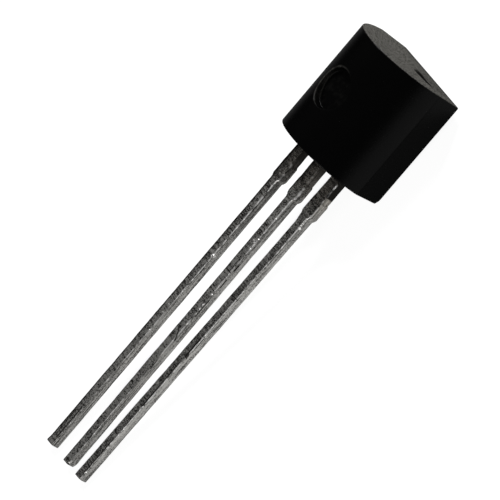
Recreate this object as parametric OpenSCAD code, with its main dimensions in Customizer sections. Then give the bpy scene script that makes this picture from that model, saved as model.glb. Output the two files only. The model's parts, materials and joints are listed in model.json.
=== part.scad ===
// Three-lead transistor in a moulded TO-92 case: a D-shaped body over a stamped lead frame, with the
// chip on the collector's pad and two bond wires inside.
//
// The parts are drawn standing: X runs across the leads, Y towards the round back and Z up the case,
// with the mould's parting plane at Y = 0 and the case's lower end at Z = 0. lying() then lays them
// down as a loose transistor comes to rest: on the lower edge of its flat face and its lead tips.

/* [Case] */
// Width across the leads, at the parting plane
case_w = 4.6; // [4.4:0.05:4.8]
// Height along the leads, at the parting plane
case_h = 4.6; // [4.4:0.05:4.8]
// Width of the flat front face
flat_w = 4.18; // [3.9:0.02:4.3]
// Depth of the front half, from the parting plane to the flat face
front_d = 1.26; // [1.1:0.02:1.4]
// Depth of the back half, from the parting plane to the crest of the round back
back_d = 2.13; // [2:0.01:2.2]
// Draft of the upper end, in degrees
upper_draft = 2.1; // [0.5:0.1:5]
// Draft of the lower end, in degrees
lower_draft = 0.9; // [0.3:0.1:5]
// Height of the bevel on the lower edge of the flat face
bevel_h = 0.27; // [0.15:0.01:0.4]
// Depth of that bevel
bevel_d = 0.09; // [0.05:0.01:0.15]

/* [Moulding marks] */
// Diameter of the ejector pin's mark in the round back
pin_mark_d = 1.62; // [1.2:0.02:1.8]
// Depth of the mark's flat floor under the crest
pin_mark_sink = 0.32; // [0.25:0.01:0.38]
// Height of the mark's centre above the lower end
pin_mark_up = 2.31; // [2:0.01:2.6]
// Length of the broken gate's scar, along the parting plane
gate_l = 1.2; // [0.8:0.05:1.5]
// Width of the scar, into the back half
gate_w = 0.34; // [0.2:0.02:0.5]
// Depth of the scar at its deep end
gate_sink = 0.15; // [0.08:0.01:0.25]
// Place of the deep end, to the emitter's side of the middle
gate_off = 0.5; // [0.3:0.05:0.8]

/* [Leads] */
// Distance from one lead to the next
pitch = 1.27; // [1.2:0.01:1.3]
// Width of a lead
lead_w = 0.42; // [0.36:0.01:0.55]
// Thickness of the sheet that the lead frame is stamped from
sheet_t = 0.36; // [0.32:0.01:0.5]
// Radius along the edges of a lead
lead_r = 0.07; // [0.03:0.01:0.12]
// Length of the middle lead, from the case to its tip
lead_l = 14.65; // [13:0.05:15.5]
// Distance from the parting plane back to the middle of the sheet
sheet_set = 0.1; // [0:0.01:0.18]
// Angle by which the leads were trimmed off square, in degrees
trim_skew = 3.8; // [0:0.1:6]
// Sideways bend of the collector lead at its tip
collector_lean = 0.02; // [-0.3:0.01:0.3]
// Sideways bend of the base lead at its tip
base_lean = -0.055; // [-0.3:0.005:0.3]
// Sideways bend of the emitter lead at its tip
emitter_lean = 0.23; // [-0.3:0.01:0.3]

/* [Shoulders] */
// Step on each side of a lead up to its wider shoulder, which enters the case
shoulder_step = 0.04; // [0.02:0.01:0.08]
// Step on each side of the shoulder up to the sheared end of the tie bar
stub_step = 0.03; // [0.02:0.01:0.06]
// Distance from the case to the upper end of a tie bar's remains
stub_from = 1.15; // [1:0.05:1.4]
// Height of those remains
stub_h = 0.6; // [0.4:0.05:0.8]
// Length of the slopes by which those remains run out into the plain lead
taper_l = 0.38; // [0.25:0.01:0.5]
// Distance that the shears stood off the leads' middle
stub_shift = -0.02; // [-0.05:0.01:0.05]

/* [Lead frame inside the case] */
// Width of the collector's pad, which carries the chip
pad_w = 2.3; // [2:0.05:2.4]
// Height of that pad
pad_h = 1.95; // [1.6:0.05:2.1]
// Height of the pad's lower edge above the case's lower end
pad_up = 1.8; // [1.7:0.05:1.95]
// Distance that the pad reaches past the collector's outer side
pad_lip = 0.25; // [0.1:0.05:0.35]
// Cut of the pad's outer upper corner
pad_cut = 0.4; // [0.2:0.05:0.6]
// Width of the base's bond post
base_post_w = 0.95; // [0.7:0.05:1.1]
// Top of the base's bond post above the case's lower end
base_post_up = 1.4; // [1.2:0.05:1.45]
// Width of the emitter's bond post
emitter_post_w = 0.9; // [0.7:0.05:0.95]
// Top of the emitter's bond post above the case's lower end
emitter_post_up = 2.7; // [2.3:0.05:3.2]
// Height of each bond post's wide head
head_h = 0.55; // [0.4:0.05:0.7]
// Radius of the notches by which the case holds each lead
notch_r = 0.11; // [0.06:0.01:0.14]
// Height of the notches above the case's lower end
notch_up = 0.45; // [0.35:0.05:0.6]

/* [Chip and bond wires] */
// Side of the square chip
chip_w = 0.55; // [0.4:0.01:0.8]
// Thickness of the chip
chip_t = 0.2; // [0.15:0.01:0.28]
// Diameter of a bond wire
wire_d = 0.05; // [0.04:0.005:0.06]
// Rise of a wire's arch over the line between its ends
loop_h = 0.5; // [0.35:0.01:0.6]
// Diameter of the flattened bonds at a wire's ends
bond_d = 0.15; // [0.12:0.005:0.18]
// Height of those bonds
bond_h = 0.06; // [0.055:0.005:0.08]

/* [Hidden] */
$fn = 96;

// Planes and places that the sizes above lead to
sheet_front = sheet_set - sheet_t / 2;
sheet_back = sheet_set + sheet_t / 2;
chip_top = sheet_back + chip_t;
back_r = (case_w * case_w / 4 + back_d * back_d) / (2 * back_d);
shoulder_w = lead_w + 2 * shoulder_step;
stub_w = shoulder_w + 2 * stub_step;
neck_l = stub_from + stub_h + taper_l;
ramp_l = 2 * stub_step;
over = 1;

// Bond points, as [x, z] on the sheet
pad_right = pitch + shoulder_w / 2 + pad_lip;
pad_left = pad_right - pad_w;
chip_at = [(pad_left + pad_right) / 2 - 0.1 * pad_w, pad_up + pad_h / 2];
base_pad = chip_at + chip_w * [-0.2, -0.25];
emitter_pad = chip_at + chip_w * [-0.25, 0.2];
base_bond = [0, base_post_up - head_h / 2];
emitter_bond = [-pitch, emitter_post_up - head_h / 2];

// Pose at rest: the lead tips touch the surface, and so does the flat face above its bevel
tip_l = lead_l + (pitch + collector_lean + lead_w / 2 - lead_r) * tan(trim_skew);
rest_rise = front_d + sheet_front;
rest_tilt = atan(rest_rise / (tip_l + bevel_h));
reach_down = (tip_l + bevel_h) * cos(rest_tilt) + (rest_rise + sheet_t) * sin(rest_tilt);
reach_up = max((case_h - bevel_h - front_d * tan(upper_draft)) * cos(rest_tilt),
               (case_h - bevel_h) * cos(rest_tilt) - front_d * sin(rest_tilt));

// Sideways place of a lead's middle at a distance below the case
function drift(lean, below) = lean * below / lead_l;

// One side of a lead's shoulder from inside the plain lead up, as [x, z]; side is 1 or -1
function shoulder_side(x, lean, side, up) = [
    [x + drift(lean, neck_l) + side * lead_w / 4, -neck_l],
    [x + drift(lean, stub_from + stub_h) + stub_shift + side * stub_w / 2, -(stub_from + stub_h)],
    [x + drift(lean, stub_from) + stub_shift + side * stub_w / 2, -stub_from],
    [x + drift(lean, stub_from - ramp_l) + side * shoulder_w / 2, -(stub_from - ramp_l)],
    [x + side * shoulder_w / 2, 0],
    [x + side * shoulder_w / 2, up]
];

function reversed(list) = [for (i = [len(list) - 1:-1:0]) list[i]];

// Lays a standing piece down on the surface, over the middle of the space that the whole part takes
module lying() {
    translate([(reach_down - reach_up) / 2, 0, 0])
        rotate([0, -rest_tilt, 0])
            translate([-bevel_h, 0, front_d])
                rotate([90, 0, 90])
                    children();
}

// Sheet metal: an outline in [x, z] given the sheet's thickness, at the sheet's place
module stamped() {
    translate([0, sheet_set, 0])
        rotate([90, 0, 0])
            linear_extrude(sheet_t, center = true)
                children();
}

// D-shaped outline of the case: straight sides and flat in front, an arc behind
module case_outline() {
    intersection() {
        translate([0, back_d - back_r]) circle(back_r);
        translate([-case_w / 2, 0]) square([case_w, back_d + over]);
    }
    polygon([[-case_w / 2, 0], [-flat_w / 2, -front_d], [flat_w / 2, -front_d], [case_w / 2, 0]]);
}

// The case seen from its side, as [y, z]: both ends fall away from the parting plane, and the flat
// face's lower edge is bevelled. The bevel's line runs on past the flat face by its own depth.
module case_side() {
    bevel_y = front_d - bevel_d;
    bevel_z = bevel_y * tan(lower_draft);
    before = front_d + bevel_d;
    behind = back_d + over;
    polygon([
        [0, 0], [behind, behind * tan(lower_draft)],
        [behind, case_h - behind * tan(upper_draft)], [0, case_h],
        [-before, case_h - before * tan(upper_draft)],
        [-before, 2 * bevel_h - bevel_z], [-bevel_y, bevel_z]
    ]);
}

module case_blank() {
    intersection() {
        translate([0, 0, -over]) linear_extrude(case_h + 2 * over) case_outline();
        rotate([90, 0, 90]) linear_extrude(case_w + 2 * over, center = true) case_side();
    }
}

// Round mark of the ejector pin, with a flat floor
module pin_mark() {
    translate([0, back_d - pin_mark_sink, pin_mark_up])
        rotate([-90, 0, 0])
            cylinder(d = pin_mark_d, h = pin_mark_sink + over);
}

// Scar of the broken gate: a wedge along the parting plane that runs out at its far end
module gate_scar() {
    translate([-(gate_off + gate_l), 0, case_h])
        rotate([0, atan(gate_sink / gate_l), 0])
            linear_extrude(over)
                polygon([[0, 0], [gate_l, 0], [0.65 * gate_l, gate_w], [0.35 * gate_l, 0.8 * gate_w]]);
}

// Round-edged section of a plain lead
module lead_section() {
    square([lead_w, sheet_t - 2 * lead_r], center = true);
    square([lead_w - 2 * lead_r, sheet_t], center = true);
    for (side_x = [-1, 1], side_y = [-1, 1])
        translate([side_x * (lead_w / 2 - lead_r), side_y * (sheet_t / 2 - lead_r)])
            circle(lead_r);
}

// Plain lead below the shoulder, bent sideways at the case and trimmed with the others
module shank(x, lean) {
    top = stub_from + stub_h;
    difference() {
        translate([x, sheet_set, 0])
            rotate([0, -atan(lean / lead_l), 0])
                translate([0, 0, -lead_l - over])
                    linear_extrude(lead_l + over - top)
                        lead_section();
        translate([0, 0, -lead_l])
            rotate([0, trim_skew, 0])
                translate([-2 * case_w, -case_w, -4 * over])
                    cube([4 * case_w, 2 * case_w, 4 * over]);
    }
}

// Shoulder, with the sheared remains of the tie bar, and the neck up into the case
module shoulder(x, lean, up) {
    difference() {
        polygon(concat(shoulder_side(x, lean, 1, up), reversed(shoulder_side(x, lean, -1, up))));
        for (side = [-1, 1])
            translate([x + side * shoulder_w / 2, notch_up]) circle(notch_r);
    }
}

module collector_shape() {
    shank(pitch, collector_lean);
    stamped() {
        shoulder(pitch, collector_lean, pad_up + pad_cut);
        polygon([
            [pad_left, pad_up], [pad_right, pad_up], [pad_right, pad_up + pad_h - pad_cut],
            [pad_right - pad_cut, pad_up + pad_h], [pad_left, pad_up + pad_h]
        ]);
    }
}

module bond_post(x, width, up) {
    translate([x - width / 2, up - head_h]) square([width, head_h]);
}

module base_shape() {
    shank(0, base_lean);
    stamped() {
        shoulder(0, base_lean, base_post_up - head_h / 2);
        bond_post(0, base_post_w, base_post_up);
    }
}

module emitter_shape() {
    shank(-pitch, emitter_lean);
    stamped() {
        shoulder(-pitch, emitter_lean, emitter_post_up - head_h / 2);
        bond_post(-pitch, emitter_post_w, emitter_post_up);
    }
}

module chip_shape() {
    translate([chip_at[0] - chip_w / 2, sheet_back, chip_at[1] - chip_w / 2])
        cube([chip_w, chip_t, chip_w]);
}

// Flattened bond at a wire's end, standing on a surface that faces +Y
module bond() {
    rotate([-90, 0, 0]) cylinder(d = bond_d, h = bond_h);
}

// Arched wire from the chip's top to a bond post, both ends as [x, z]
module wire_shape(start, finish) {
    span = norm(finish - start);
    heading = atan2(finish[1] - start[1], finish[0] - start[0]);
    chord = norm([span, chip_t]);
    arch_r = (chord * chord / 4 + loop_h * loop_h) / (2 * loop_h);
    half_turn = acos((arch_r - loop_h) / arch_r);
    translate([start[0], chip_top, start[1]])
        rotate([0, -heading, 0]) {
            bond();
            translate([span, -chip_t, 0]) bond();
            translate([0, bond_h / 2, 0])
                rotate([0, 0, -atan2(chip_t, span)])
                    translate([chord / 2, loop_h - arch_r, 0])
                        rotate([0, 0, 90 - half_turn])
                            rotate_extrude(angle = 2 * half_turn)
                                translate([arch_r, 0]) circle(d = wire_d);
        }
}

module case() {
    color("#17171a")
        difference() {
            case_blank();
            pin_mark();
            gate_scar();
            collector_shape();
            base_shape();
            emitter_shape();
            chip_shape();
            wire_shape(base_pad, base_bond);
            wire_shape(emitter_pad, emitter_bond);
        }
}

module collector_lead() {
    color("#8b8882") collector_shape();
}

module base_lead() {
    color("#8b8882") base_shape();
}

module emitter_lead() {
    color("#8b8882") emitter_shape();
}

module chip() {
    color("#4b5566") chip_shape();
}

module base_wire() {
    color("#d8b04a") wire_shape(base_pad, base_bond);
}

module emitter_wire() {
    color("#d8b04a") wire_shape(emitter_pad, emitter_bond);
}

lying() case();
lying() collector_lead();
lying() base_lead();
lying() emitter_lead();
lying() chip();
lying() base_wire();
lying() emitter_wire();
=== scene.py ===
"""A three-lead transistor in a moulded TO-92 case, lying on a white floor.

The shapes are worked out standing, in millimetres: X runs across the leads, Y towards the round back
and Z up the case, with the mould's parting plane at Y = 0 and the case's lower end at Z = 0. laid_down()
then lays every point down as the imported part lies, in metres.
"""

import json
import math

import bpy
import numpy as np
from mathutils import Matrix, Vector


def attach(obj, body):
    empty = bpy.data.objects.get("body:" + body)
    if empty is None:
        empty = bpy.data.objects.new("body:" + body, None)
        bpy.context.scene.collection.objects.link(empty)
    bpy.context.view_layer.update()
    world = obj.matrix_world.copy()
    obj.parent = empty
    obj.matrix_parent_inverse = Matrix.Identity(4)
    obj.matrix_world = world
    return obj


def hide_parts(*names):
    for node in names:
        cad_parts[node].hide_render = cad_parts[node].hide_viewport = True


bl_info = {
    "name": "TO-92 transistor",
    "version": (1, 0, 0),
    "blender": (4, 5, 0),
    "location": "3D View > Sidebar > Transistor",
    "description": "Builds a lead-frame transistor in a moulded case, with its finishes and its studio",
    "category": "Object",
}

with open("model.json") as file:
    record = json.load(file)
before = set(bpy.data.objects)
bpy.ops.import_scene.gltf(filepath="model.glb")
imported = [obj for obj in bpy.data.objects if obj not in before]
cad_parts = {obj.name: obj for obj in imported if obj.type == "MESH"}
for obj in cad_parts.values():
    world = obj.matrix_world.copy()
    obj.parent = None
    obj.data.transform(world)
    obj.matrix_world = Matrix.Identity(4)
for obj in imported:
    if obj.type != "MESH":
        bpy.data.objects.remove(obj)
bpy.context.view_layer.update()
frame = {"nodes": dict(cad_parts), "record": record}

MM = 0.001
BODY = "root"


# Settings

def length(label, says, millimetres):
    """A length setting, given in millimetres and kept in metres."""
    return bpy.props.FloatProperty(
        name=label, description=says, default=millimetres * MM, unit="LENGTH", precision=5
    )


def angle(label, says, degrees):
    """An angle setting, given in degrees and kept in radians."""
    return bpy.props.FloatProperty(
        name=label, description=says, default=math.radians(degrees), subtype="ANGLE"
    )


def share(label, says, default):
    """A setting from 0 to 1."""
    return bpy.props.FloatProperty(
        name=label, description=says, default=default, min=0, max=1, subtype="FACTOR"
    )


def colour(label, says, default):
    """A colour setting, in linear red, green and blue."""
    return bpy.props.FloatVectorProperty(
        name=label, description=says, default=default, size=3, min=0, max=1, subtype="COLOR"
    )


class CaseSizes(bpy.types.PropertyGroup):
    """Sizes of the moulded case and of the marks that its mould left."""

    width: length("Width", "Across the leads, at the parting plane", 4.6)
    height: length("Height", "Along the leads, at the parting plane", 4.6)
    flat_width: length("Flat width", "Width of the flat front face", 4.18)
    front_depth: length("Front depth", "From the parting plane to the flat face", 1.26)
    back_depth: length("Back depth", "From the parting plane to the crest of the back", 2.13)
    upper_draft: angle("Upper draft", "Slope of the upper end away from the parting plane", 2.1)
    lower_draft: angle("Lower draft", "Slope of the lower end away from the parting plane", 0.9)
    bevel_height: length("Bevel height", "Height of the bevel under the flat face", 0.27)
    bevel_depth: length("Bevel depth", "Depth of the bevel under the flat face", 0.09)
    edge_radius: length("Edge radius", "Rounding of the case's edges", 0.045)
    parting_ridge: length("Parting ridge", "Height of the flash along the parting line", 0.003)
    pin_mark_width: length("Pin mark width", "Diameter of the ejector pin's mark", 1.62)
    pin_mark_sink: length("Pin mark depth", "Depth of the mark's floor under the crest", 0.32)
    pin_mark_up: length("Pin mark height", "Height of the mark's centre", 2.31)
    gate_length: length("Gate length", "Length of the broken gate's scar", 1.09)
    gate_width: length("Gate width", "Width of the scar into the back half", 0.38)
    gate_sink: length("Gate depth", "Depth of the scar at its deep end", 0.15)
    gate_off: length("Gate place", "Place of the deep end, towards the emitter", 0.6)


class LeadSizes(bpy.types.PropertyGroup):
    """Sizes of the stamped leads, outside the case and inside."""

    pitch: length("Pitch", "From one lead to the next", 1.27)
    width: length("Width", "Width of a plain lead", 0.42)
    sheet: length("Sheet", "Thickness of the lead frame's sheet", 0.36)
    sheet_set: length("Set back", "From the parting plane back to the sheet's middle", 0.1)
    edge_radius: length("Edge radius", "Rounding along a plain lead", 0.07)
    length: length("Length", "From the case to the middle lead's tip", 14.65)
    trim: angle("Trim", "Angle off square of the trimmed tips", 3.8)
    collector_lean: length("Collector lean", "Sideways bend at the collector's tip", 0.02)
    base_lean: length("Base lean", "Sideways bend at the base's tip", -0.055)
    emitter_lean: length("Emitter lean", "Sideways bend at the emitter's tip", 0.23)
    shoulder_step: length("Shoulder step", "From a lead's side out to its shoulder", 0.04)
    stub_step: length("Stub step", "From the shoulder out to the sheared tie bar", 0.03)
    stub_from: length("Stub place", "From the case to the tie bar's remains", 1.15)
    stub_height: length("Stub height", "Height of the tie bar's remains", 0.6)
    stub_shift: length("Stub shift", "Distance that the shears stood off the middle", -0.02)
    taper: length("Taper", "Length of the slope from the stub to the plain lead", 0.38)
    notch: length("Notch radius", "Radius of the notches that the case grips", 0.11)
    notch_up: length("Notch height", "Height of the notches above the lower end", 0.45)
    head: length("Head height", "Height of a bond post's wide head", 0.55)
    base_post_width: length("Base post width", "Width of the base's bond post", 0.95)
    base_post_up: length("Base post top", "Top of the base's bond post", 1.4)
    emitter_post_width: length("Emitter post width", "Width of the emitter's bond post", 0.9)
    emitter_post_up: length("Emitter post top", "Top of the emitter's bond post", 2.7)
    pad_width: length("Pad width", "Width of the chip's pad", 2.3)
    pad_height: length("Pad height", "Height of the chip's pad", 1.95)
    pad_up: length("Pad place", "Lower edge of the pad above the lower end", 1.8)
    pad_lip: length("Pad lip", "Reach of the pad past the collector's shoulder", 0.25)
    pad_cut: length("Pad corner", "Cut of the pad's outer upper corner", 0.4)


class Finishes(bpy.types.PropertyGroup):
    """Colours and roughness of the materials."""

    epoxy: colour("Epoxy", "Colour of the moulding compound", (0.0007, 0.0007, 0.0007))
    # The ends' grey is the filler, with painted sheen in it that stands in for the reflection the ends show
    # at a grazing view.
    epoxy_end: colour("Epoxy ends", "Colour of the ends, where the filler shows", (0.07, 0.068, 0.062))
    epoxy_roughness: share("Epoxy roughness", "Roughness of the moulded skin", 0.26)
    tin: colour("Tin", "Colour of the clean tin plating", (0.52, 0.512, 0.49))
    tarnish: colour("Tarnish", "Colour of the tarnished plating", (0.016, 0.0148, 0.013))
    browned_tin: colour("Browned tin", "Colour of the leads next to the case", (0.5, 0.46, 0.4))
    # Bright tin also paints the highlight along each lead's ridge.
    bright_tin: colour("Bright tin", "Colour where the plating is rubbed or nicked", (0.95, 0.94, 0.92))
    tin_roughness: share("Tin roughness", "Roughness of the plating", 0.38)
    silicon: colour("Silicon", "Colour of the chip", (0.16, 0.18, 0.22))
    gold: colour("Gold", "Colour of the bond wires", (0.85, 0.58, 0.22))


class StudioSettings(bpy.types.PropertyGroup):
    """The camera, the lamps and the white floor."""

    camera_turn: angle("Camera turn", "Turn of the view about the case's axis", 47.60857)
    camera_rise: angle("Camera rise", "Rise of the view over the leads' plane", 11.42048)
    camera_roll: angle("Camera roll", "Roll of the camera", -40.38003)
    camera_distance: length("Camera distance", "From the aim to the camera", 161.6587)
    camera_aim: length("Camera aim", "Height of the aim on the case's axis", -5.0)
    aim_right: length("Aim right", "Shift of the aim to the right of the view", -0.01995)
    aim_up: length("Aim up", "Shift of the aim up the view", 0.66325)
    lens: bpy.props.FloatProperty(
        name="Lens", description="Focal length for a sensor 36 mm wide", default=325.308, unit="CAMERA"
    )
    floor: colour("Floor", "Colour of the floor", (0.86, 0.86, 0.86))
    floor_glow: share("Floor whiteness", "Share of the floor's look that takes no shadow", 0.94)
    reflected_glow: share("Reflected whiteness", "How much of that share reflections show", 0.3)
    sky: colour("Surroundings", "Light of the studio around the floor", (0.12, 0.12, 0.12))


class TransistorSettings(bpy.types.PropertyGroup):
    """Everything that a user may change."""

    case: bpy.props.PointerProperty(type=CaseSizes)
    leads: bpy.props.PointerProperty(type=LeadSizes)
    finishes: bpy.props.PointerProperty(type=Finishes)
    studio: bpy.props.PointerProperty(type=StudioSettings)


def settings(context):
    """The settings of the scene."""
    return context.scene.transistor


class Millimetres:
    """Reads the lengths of a group of settings in millimetres."""

    def __init__(self, group):
        self.group = group

    def __getattr__(self, name):
        return getattr(self.group, name) / MM


# Placing and skinning

def resting_place(case, draft):
    """The turn and the place by which the part lies down, from the flat face's mount: the face's
    outward axis gives the tilt, and the mount's point is the middle of the flat face's height."""
    mount = next(m for m in frame["record"]["mounts"] if m["name"] == "flat_face")
    axis = mount["axis"]
    tilt = math.atan2(axis[0], -axis[2])
    top = case.height - case.front_depth * math.tan(draft)
    up = (case.bevel_height + top) / 2
    return tilt, up, [p / MM for p in mount["pos_m"]]


def laid_down(points, sizes):
    """Standing points in millimetres to lying points in metres: the height above the mount runs along
    +X and the depth from the flat face along +Z, both turned by the tilt about the mount's point."""
    case = Millimetres(sizes.case)
    tilt, up, place = resting_place(case, sizes.case.upper_draft)
    along = points[..., 2] - up
    off = points[..., 1] + case.front_depth
    x = place[0] + along * math.cos(tilt) - off * math.sin(tilt)
    y = place[1] + points[..., 0]
    z = place[2] + along * math.sin(tilt) + off * math.cos(tilt)
    return np.stack([x, y, z], -1) * MM


def skin(name, grids, marks=(), place=None):
    """A mesh over grids of points. A grid has rows, columns, and x, y, z with one more number for each name
    in marks, which becomes an attribute. Points that coincide are welded, and a square that a weld has
    folded becomes a triangle. place then puts the welded points where they belong."""
    grids = [np.asarray(g, float) for g in grids]
    points = np.concatenate([g.reshape(-1, 3 + len(marks)) for g in grids])
    squares = []
    start = 0
    for g in grids:
        rows, columns = g.shape[:2]
        i = start + np.arange(rows * columns).reshape(rows, columns)
        squares.append(np.stack([i[:-1, :-1], i[:-1, 1:], i[1:, 1:], i[1:, :-1]], -1).reshape(-1, 4))
        start += rows * columns
    squares = np.concatenate(squares)
    _, first, where = np.unique(np.round(points[:, :3], 6), axis=0, return_index=True, return_inverse=True)
    squares = where.reshape(-1)[squares]
    points = points[first]
    triangles = []
    for corner in range(4):
        folded = squares[:, corner] == squares[:, (corner + 1) % 4]
        kept = [(corner + step) % 4 for step in (1, 2, 3)]
        triangles.append(squares[folded][:, kept])
        squares = squares[~folded]
    triangles = np.concatenate(triangles)
    flat = (triangles[:, 0] == triangles[:, 1]) | (triangles[:, 1] == triangles[:, 2])
    triangles = triangles[~(flat | (triangles[:, 0] == triangles[:, 2]))]
    mesh = bpy.data.meshes.new(name)
    placed = points[:, :3] if place is None else place(points[:, :3])
    mesh.from_pydata(placed.tolist(), [], squares.tolist() + triangles.tolist())
    for index, mark in enumerate(marks):
        layer = mesh.attributes.new(mark, "FLOAT", "POINT")
        layer.data.foreach_set("value", points[:, 3 + index].astype(np.float32))
    mesh.polygons.foreach_set("use_smooth", np.ones(len(mesh.polygons), bool))
    mesh.validate()
    mesh.update()
    return mesh


def piece(name, mesh, material):
    """An object at the origin with that mesh and material, in place of an older one of that name."""
    old = bpy.data.objects.get(name)
    if old is not None:
        bpy.data.objects.remove(old)
    made = bpy.data.objects.new(name, mesh)
    bpy.context.scene.collection.objects.link(made)
    mesh.materials.clear()
    mesh.materials.append(material)
    return made


def eased(t):
    """Rises from 0 to 1 with level ends, as t goes from 0 to 1."""
    t = np.clip(t, 0, 1)
    return t * t * (3 - 2 * t)


def bell(away, width):
    """1 where away is 0, and less with the distance, as e to the power of -(away / width) squared."""
    return np.exp(-(away / width) ** 2)


def ramp(value, start, over):
    """Rises from 0 to 1 with level ends, as the value goes from start on over that length."""
    return eased((value - start) / over)


def uneven(along, across, cell, seed, around=None):
    """Soft unevenness from -1 to 1: seeded random heights at the corners of cells of the given size,
    eased from corner to corner. around is the length over which it repeats across."""
    rng = np.random.default_rng(seed)
    a = along / cell[0]
    a = a - np.floor(a.min())
    if around is None:
        b = across / cell[1]
        b = b - np.floor(b.min())
        count = int(np.ceil(b.max())) + 2
    else:
        count = max(3, int(round(around / cell[1])))
        b = across / around * count
    heights = rng.uniform(-1, 1, (int(np.ceil(a.max())) + 2, count))
    ia, ib = np.floor(a).astype(int), np.floor(b).astype(int)
    fa, fb = eased(a - ia), eased(b - ib)
    near, far = ib % count, (ib + 1) % count
    lower = heights[ia, near] * (1 - fb) + heights[ia, far] * fb
    upper = heights[ia + 1, near] * (1 - fb) + heights[ia + 1, far] * fb
    return lower * (1 - fa) + upper * fa


# Case

# Half the side of the square of grid round the pin mark, and where its rings start to turn square
LOCAL = 1.15
SQUARE_FROM = 0.8
# Points over a rim, and round a corner at the flat, and rows above and below the square
RIM_STEPS = 5
CORNER_STEPS = 6
SIDE_STEPS = 12
# Columns on the straight wall, as shares of its length, and on the back, as places behind the parting
# plane. The gate's scar takes the first of these, up to the one numbered GATE_EDGE.
WALL_PLACES = np.array([0.06, 0.2, 0.35, 0.5, 0.65, 0.8, 0.92, 0.985])
GATE_ROWS = np.array([0.006, 0.03, 0.07, 0.11, 0.15, 0.19, 0.196, 0.2, 0.23, 0.3, 0.4, 0.5])
GATE_EDGE = 7
BACK_ROWS = np.linspace(0.6, 1.7, 10)
# Least turn between the last of these and the square, and how much rounder than a rim the flat's corners are
COLUMN_GAP = 0.03
CORNER_EXTRA = 0.015
# Distance of the first row from an end, and the distances from an end between which its slope fades out
# of the rows: up to the second one at the foot and up to the third at the head
END_BAND = 0.12
END_GAP = 0.08
FOOT_FADE = 0.6
HEAD_FADE = 0.4
CASE_MARKS = ("end_face", "torn_and_shade", "scuffs_and_highlight")


def mirrored(half):
    """A list of places from 0 up, with the same places below 0 before it."""
    half = np.asarray(half, float)
    return np.concatenate([-half[:0:-1], half])


def mark_places(case):
    """One-way places for the square of grid round the pin mark: close together at the mark's edge, and at
    the gate scar's deep end, which takes the same columns. Returns them with the radius and the share of
    the mark's depth that each ring of the grid takes."""
    r = case.pin_mark_width / 2
    rings = [
        (0.0, 0.0, 1.0), (0.1, 0.12, 1.0), (0.2, 0.25, 1.0), (0.24, 0.302, 1.0), (0.3066, 0.388, 1.0),
        (0.3146, 0.397, 1.0), (0.35, 0.44, 1.0), (0.4, 0.5, 1.0), (0.5, 0.62, 1.0), (0.58, 0.71, 1.0),
        (0.63, r - 0.02, 1.0), (0.65, r - 0.012, 0.985), (0.67, r - 0.006, 0.94), (0.69, r - 0.002, 0.85),
        (0.71, r, 0.6), (0.73, r + 0.004, 0.3), (0.75, r + 0.008, 0.12), (0.77, r + 0.018, 0.03),
        (0.79, r + 0.035, 0.0), (0.83, r + 0.08, 0.0), (0.9, 0.96, 0.0), (0.98, 1.04, 0.0),
        (1.06, 1.1, 0.0), (LOCAL, LOCAL, 0.0),
    ]
    return np.array(rings)


def back_radius(case):
    """Radius of the back's arc through the parting plane's ends and the crest."""
    w, b = case.width / 2, case.back_depth
    return (w * w + b * b) / (2 * b)


def on_arc(hub, radius, bend):
    """Points on a circle about the hub at those angles, as rows of x, y and the outward normal."""
    normal = np.stack([np.cos(bend), np.sin(bend)], 1)
    return np.column_stack([hub + radius * normal, normal])


def outline_columns(case, fractions):
    """The case's outline as rows of x, y and the outward normal, for the right side, the back's crest and
    the flat: an arc through the parting plane's ends and the crest behind, straight sides in front, and
    rounded corners at the flat."""
    w, f = case.width / 2, case.front_depth
    half_flat = case.flat_width / 2
    arc_r = back_radius(case)
    arc_y = case.back_depth - arc_r
    side = np.array([w - half_flat, f]) / math.hypot(w - half_flat, f)
    normal = np.array([side[1], -side[0]])
    radius = case.edge_radius + CORNER_EXTRA
    turn = math.atan2(normal[1], normal[0]) + math.pi / 2
    hub = np.array([half_flat - radius * math.tan(turn / 2), -f + radius])
    corner = on_arc(hub, radius, -math.pi / 2 + turn * np.linspace(0, 1, CORNER_STEPS))
    start = corner[-1, :2]
    wall = start + (np.array([w, 0]) - start) * WALL_PLACES[:, None]
    wall = np.column_stack([wall, np.repeat(normal[None], len(wall), 0)])
    first, last = np.arcsin(-arc_y / arc_r), np.arccos(LOCAL / arc_r)
    seam_normal = (normal + [math.cos(first), math.sin(first)]) / 2
    seam = [[w + case.parting_ridge, 0.0, *seam_normal]]
    bend = np.arcsin((np.concatenate([GATE_ROWS, BACK_ROWS]) - arc_y) / arc_r)
    back = on_arc([0, arc_y], arc_r, np.concatenate([bend[bend < last - COLUMN_GAP], [last]]))
    crest_x = fractions * LOCAL
    rise = np.sqrt(arc_r**2 - crest_x**2)
    crest = np.column_stack([crest_x, arc_y + rise, crest_x / arc_r, rise / arc_r])
    zero = np.zeros_like(fractions)
    flat = np.column_stack([fractions * hub[0], zero - f, zero, zero - 1])
    return np.concatenate([corner, wall, seam, back]), crest, flat


def upper_end(y, case, draft):
    """Height of the upper end: the draft's slope down to both sides of the parting plane."""
    return case.height - np.abs(y) * math.tan(draft)


def lower_end(y, case, draft):
    """Height of the lower end: the draft's slope, and the bevel's steeper one under the flat face."""
    bevel_y = case.front_depth - case.bevel_depth
    slope = math.tan(draft)
    steep = (case.bevel_height - bevel_y * slope) / case.bevel_depth
    front = np.where(-y > bevel_y, bevel_y * slope + (-y - bevel_y) * steep, -y * slope)
    return np.where(y > 0, y * slope, front)


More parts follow.
